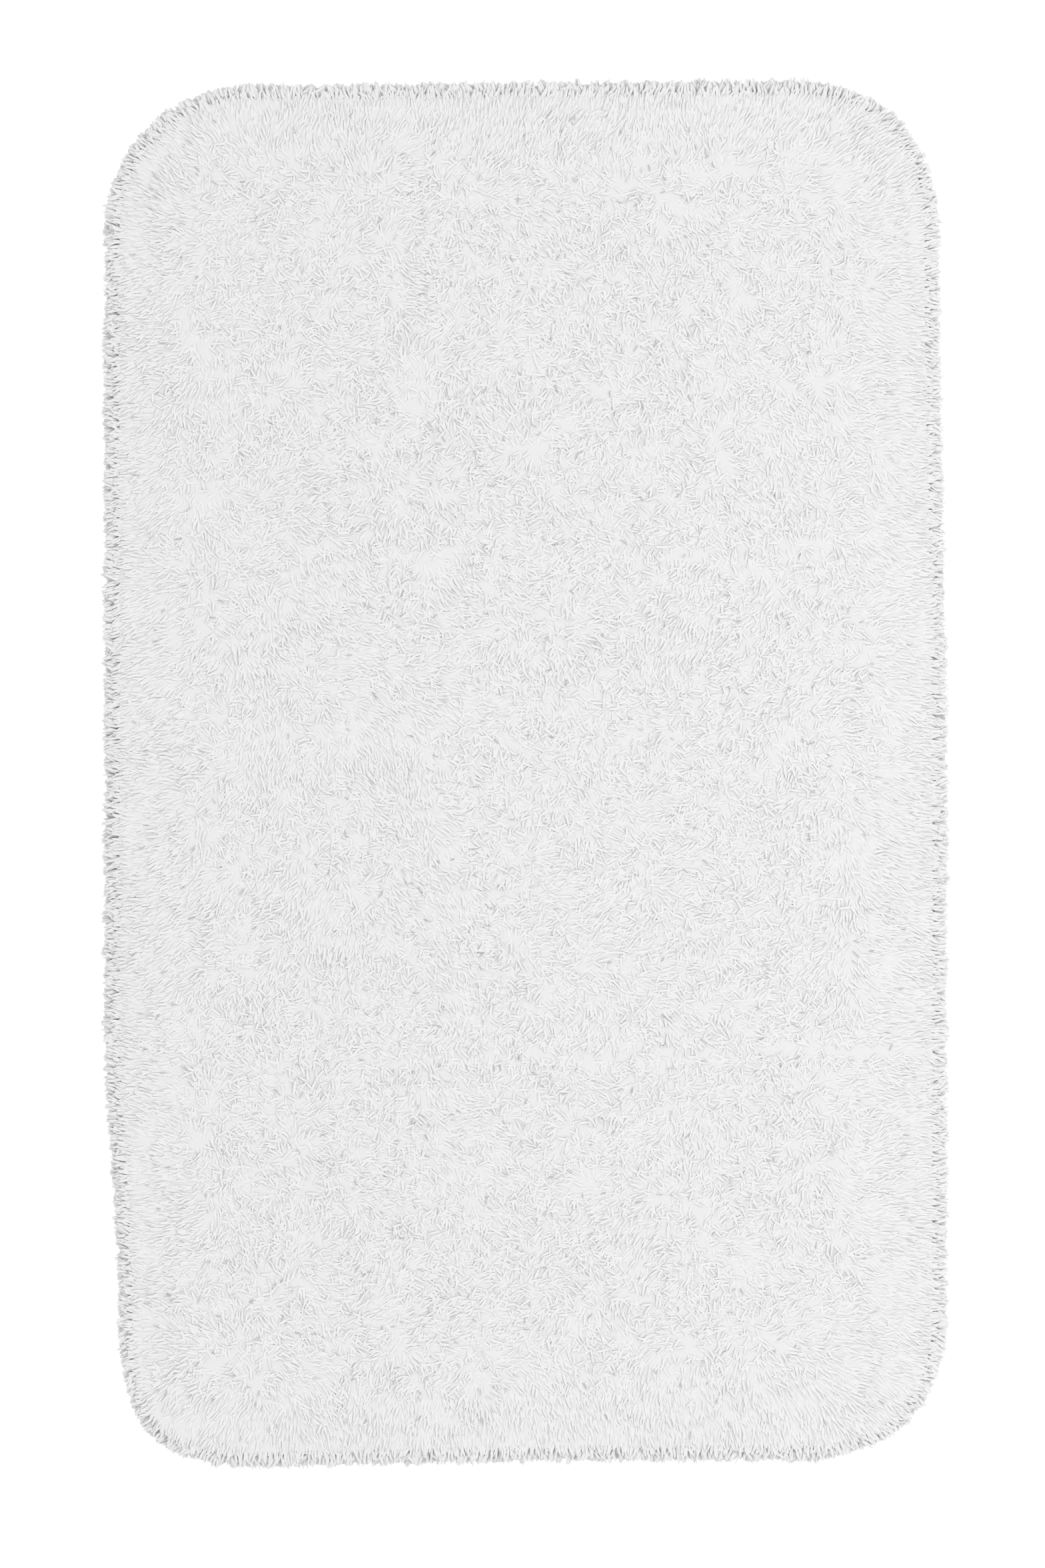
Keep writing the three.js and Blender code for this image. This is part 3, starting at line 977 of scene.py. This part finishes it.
def makePile(p):
    # All the ends are worked out together and then cut into bands along the mat by where they start.
    rng = np.random.default_rng(p["seed"])
    parts = [fieldEnds(p, fieldYarn, rng), rimEnds(p, rimYarn, rng)]
    line, tone, scale, y = (np.concatenate(arrays) for arrays in zip(*parts))
    roll = clipped(rng, len(y)) * p["rollSpread"]
    edges = [-1.0, *p["bandEdges"], 1.0]
    bands = []
    for number, (low, high) in enumerate(zip(edges[:-1], edges[1:]), 1):
        mine = (y >= low) & (y < high)
        tubes = yarnTubes(line[mine], scale[mine], tone[mine], roll[mine], p)
        points, quads, tris, quadUv, triUv, normals = tubes
        bedPoints, bedQuads, bedUv, bedNormals = pileBed(low, high, p)
        quads = np.concatenate([quads, bedQuads + len(points)])
        points = np.concatenate([points, bedPoints])
        uv = np.concatenate([quadUv, bedUv, triUv])
        normals = np.concatenate([normals, bedNormals])
        piece = makeMesh(f"pile_band_{number}", points, quads, tris, uv, ("yarn", "OFBake"), normals)
        piece.data.materials.append(yarnMaterial)
        followFold(piece, low, high)
        bands.append(piece)
    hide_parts("pile_front")
    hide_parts("pile_middle")
    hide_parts("pile_back")
    print("pile:", len(y), "yarn ends in", len(bands), "bands")
    return bands


def followFold(piece, low, high):
    # A piece that holds a crease has its transform baked into its points and is left unattached; any other
    # rides on the body it lies in.
    if low < frontCrease < high:
        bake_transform(piece)
    elif low < backCrease < high:
        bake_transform(piece)
    elif high <= frontCrease:
        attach(piece, "front_flap")
    elif low >= backCrease:
        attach(piece, "back_flap")
    else:
        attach(piece, "middle")


pileBands = makePile(pile)


# The flat pieces under the pile are each made in two, front and back, and each half holds one crease.
split = -0.070
halves = {"front": (-1.0, split), "back": (split, 1.0)}


def finishPiece(piece, material, low, high, nodes):
    # The last steps for a piece that lies between y = low and y = high and stands for the nodes.
    piece.data.materials.append(material)
    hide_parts(*nodes)
    followFold(piece, low, high)
    return piece


backing = {
    "edgeInset": 0.0009,  # from the outline, where the hem wraps it
    "ripple": 0.00008,
    "step": 0.005,
    "across": 60,
}


def makeBacking(b):
    # The woven ground cloth: a slab between its two CAD heights, with a slight ripple underneath.
    low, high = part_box("backing_middle")

    def under(x, y):
        return low.z + b["ripple"] * (1 + softNoise(x, y, 0.04, 41))

    def over(x, y):
        return np.full(x.shape, high.z)

    sheets = []
    for half, (start, end) in halves.items():
        rows = rowsBetween(start, end, b["edgeInset"], b["step"])
        points, quads = slab(rows, b["across"], edgeReach(rows, b["edgeInset"]), under, over)
        piece = makeMesh(f"backing_cloth_{half}", points, quads)
        nodes = ["backing_front", "backing_middle"] if half == "front" else ["backing_back"]
        finishPiece(piece, woven["backingCloth"], start, end, nodes)
        sheets.append(piece)
    print("backing cloth")
    return sheets


grip = {
    "filmBottom": 0.00145,
    "filmTop": 0.00188,
    "filmWave": 0.00006,
    "dotPitch": 0.011,
    "dotRadius": 0.0019,
    "dotRings": ((1.0, 0.00165), (0.86, 0.0005), (0.5, 0.0)),  # share of the radius, and height
    "dotSides": 6,
    "dotInset": 0.0285,  # the outermost dots' distance from the outline
    "dotMargin": 0.002,  # from a half's end
    "wobble": 0.06,
    "step": 0.005,
    "across": 56,
}


def gripDots(low, high, g):
    # A hexagonal lattice of low domes, each with flat sides: a base ring in the film, a second ring most of
    # the way down and a flat foot on the floor.
    pitch, sides = g["dotPitch"], g["dotSides"]
    rows, columns = int(halfLength / (pitch * hexRow)) + 1, int(halfWidth / pitch) + 1
    j, i = np.mgrid[-rows:rows + 1, -columns:columns + 1]
    x = ((i + 0.5 * (j % 2)) * pitch).ravel()
    y = (j * pitch * hexRow).ravel()
    keep = edgeDistance(x, y)[0] > g["dotInset"]
    keep &= (y >= low + g["dotMargin"]) & (y < high - g["dotMargin"])
    x, y = x[keep], y[keep]
    n = len(x)
    turn = np.arange(sides) / sides * 2 * math.pi
    wobble = 1 + g["wobble"] * clipped(np.random.default_rng(43), (n, 1))
    rings = []
    for wide, z in g["dotRings"]:
        radius = g["dotRadius"] * wide * wobble
        ringX, ringY = x[:, None] + radius * np.cos(turn), y[:, None] - radius * np.sin(turn)
        rings.append(np.stack([ringX, ringY, np.full(ringX.shape, z)], -1))
    points = np.stack(rings, 1).reshape(-1, 3)
    k = np.arange(sides)
    k1 = (k + 1) % sides
    r = np.arange(2)[:, None] * sides
    wall = np.stack([r + k, r + k1, r + sides + k1, r + sides + k], -1).reshape(-1, 4)
    after = np.arange(sides - 1, 1, -1)
    cap = np.stack([0 * after, after, after - 1], -1)
    tris = np.concatenate([cap, cap[:, ::-1] + 2 * sides])
    base = (np.arange(n) * 3 * sides)[:, None, None]
    return points, (wall[None] + base).reshape(-1, 4), (tris[None] + base).reshape(-1, 3)


def makeGrip(g):
    # The latex coat: a thin film over the cloth, with raised dots that reach the floor.
    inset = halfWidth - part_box("grip_middle")[1].x

    def under(x, y):
        return g["filmBottom"] + g["filmWave"] * softNoise(x, y, 0.012, 42)

    def over(x, y):
        return np.full(x.shape, g["filmTop"])

    coats = []
    for half, (start, end) in halves.items():
        rows = rowsBetween(start, end, inset, g["step"])
        points, quads = slab(rows, g["across"], edgeReach(rows, inset), under, over)
        dotPoints, dotQuads, dotTris = gripDots(start, end, g)
        quads = np.concatenate([quads, dotQuads + len(points)])
        dotTris = dotTris + len(points)
        piece = makeMesh(f"grip_coat_{half}", np.concatenate([points, dotPoints]), quads, dotTris)
        nodes = ["grip_front", "grip_middle"] if half == "front" else ["grip_back"]
        finishPiece(piece, woven["gripLatex"], start, end, nodes)
        coats.append(piece)
    print("grip coat and its dots")
    return coats


hem = {
    "width": 0.024,
    "bottom": 0.0010,
    "pucker": 0.00012,
    "puckerSize": 0.012,
    "step": 0.004,
    "nodes": {"front": ["hem_front", "hem_left", "hem_right"], "back": ["hem_back"]},
}


def makeHem(h):
    # The turned edge: its profile runs from the folded inner edge along the underside, round the outline and
    # over the backing cloth's edge, and back. Small noise along it makes the puckers.
    w, b = h["width"], h["bottom"]
    underside = [[-w + 0.0002, b + 0.0006], [-w, b + 0.0003], [-w + 0.0003, b], [-w / 2, b - 0.00005]]
    outside = [[-0.0020, b + 0.00005], [-0.0004, b + 0.0005], [0.0002, b + 0.0012]]
    lip = [[-0.0001, b + 0.00215], [-0.0006, b + 0.00205], [-0.0008, b + 0.00085]]
    shape = np.array([*underside, *outside, *lip, [-w / 2, b + 0.00075]])
    hems = []
    for half, (start, end) in halves.items():
        path, normal = cutOutline(0.0, h["step"], split, half == "back")
        along = np.arange(len(path)) * h["step"]
        wave = softNoise(along, along * 0 + 5, h["puckerSize"], 51)[:, None]
        profile = np.repeat(shape[None], len(path), 0)
        profile[:, 3:7, 1] += h["pucker"] * wave
        profile[:, :3, 0] += 3 * h["pucker"] * wave
        points, quads, tris, uv = carry(path, normal, profile)
        piece = makeMesh(f"turned_hem_{half}", points, quads, tris, uv)
        finishPiece(piece, woven["hemCloth"], start, end, h["nodes"][half])
        hems.append(piece)
    print("turned hem")
    return hems


stitching = {
    "inset": 0.0206,
    "pitch": 0.0038,
    "length": 0.0031,
    "radius": 0.00036,
    "height": 0.00078,
    "lift": 0.00045,  # of each stitch's ends above its middle
    "nodes": {"front": ["thread_front", "thread_left", "thread_right"], "back": ["thread_back"]},
}


def makeStitching(t):
    # One short thread for each stitch of the hem's seam, with its ends drawn up into the cloth.
    seams = []
    for half, (start, end) in halves.items():
        path, normal = cutOutline(t["inset"], t["pitch"], split, half == "back")
        path, normal = path[1:-1], normal[1:-1]
        direction = np.stack([-normal[:, 1], normal[:, 0]], -1)
        threads = capsules(path, direction, t["height"], t["length"], t["radius"], t["lift"])
        piece = makeMesh(f"hem_stitches_{half}", *threads)
        finishPiece(piece, threadMaterial, start, end, t["nodes"][half])
        seams.append(piece)
    print("hem stitches")
    return seams


label = {
    "curl": 0.00006,
    "seamInset": 0.00145,
    "seamPitch": 0.0021,
    "seamLength": 0.0017,
    "seamRadius": 0.00014,
    "seamDrop": 0.00022,  # of the stitches' middles under the satin
    "seamLift": 0.0002,
    "firstStitch": 0.001,  # from a corner of the seam
    "lastStitch": 0.0005,
    "rows": 15,
    "columns": 42,
}


def makeLabel(c):
    # The blank care label, a thin satin slab between its CAD heights, and the stitches round it.
    low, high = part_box("care_label")
    middle, reach = (low.x + high.x) / 2, (high.x - low.x) / 2

    def under(x, y):
        return low.z - c["curl"] * (1 + softNoise(x, y, 0.006, 61))

    def over(x, y):
        return np.full(x.shape, high.z)

    rows = np.linspace(low.y, high.y, c["rows"])
    points, quads = slab(rows, c["columns"], np.full(c["rows"], reach), under, over, middle)
    satin = makeMesh("blank_label", points, quads)
    finishPiece(satin, woven["labelSatin"], -1.0, frontCrease, ["care_label"])
    inset = c["seamInset"]
    x0, x1, y0, y1 = low.x + inset, high.x - inset, low.y + inset, high.y - inset
    across = np.arange(x0 + c["firstStitch"], x1 - c["lastStitch"], c["seamPitch"])
    upright = np.arange(y0 + c["firstStitch"], y1 - c["lastStitch"], c["seamPitch"])
    ones, others = np.ones(len(across)), np.ones(len(upright))
    spots = [[across, y0 * ones], [across, y1 * ones], [x0 * others, upright], [x1 * others, upright]]
    middles = np.concatenate([np.stack(spot, -1) for spot in spots])
    direction = np.repeat([[1.0, 0.0], [0.0, 1.0]], [2 * len(across), 2 * len(upright)], 0)
    height = low.z - c["seamDrop"]
    threads = capsules(middles, direction, height, c["seamLength"], c["seamRadius"], c["seamLift"])
    seam = makeMesh("blank_label_stitches", *threads)
    finishPiece(seam, threadMaterial, -1.0, frontCrease, ["care_label_thread"])
    print("blank label and its stitches")
    return satin, seam


backingSheets = makeBacking(backing)
gripCoats = makeGrip(grip)
hems = makeHem(hem)
seams = makeStitching(stitching)
blankLabel, labelSeam = makeLabel(label)
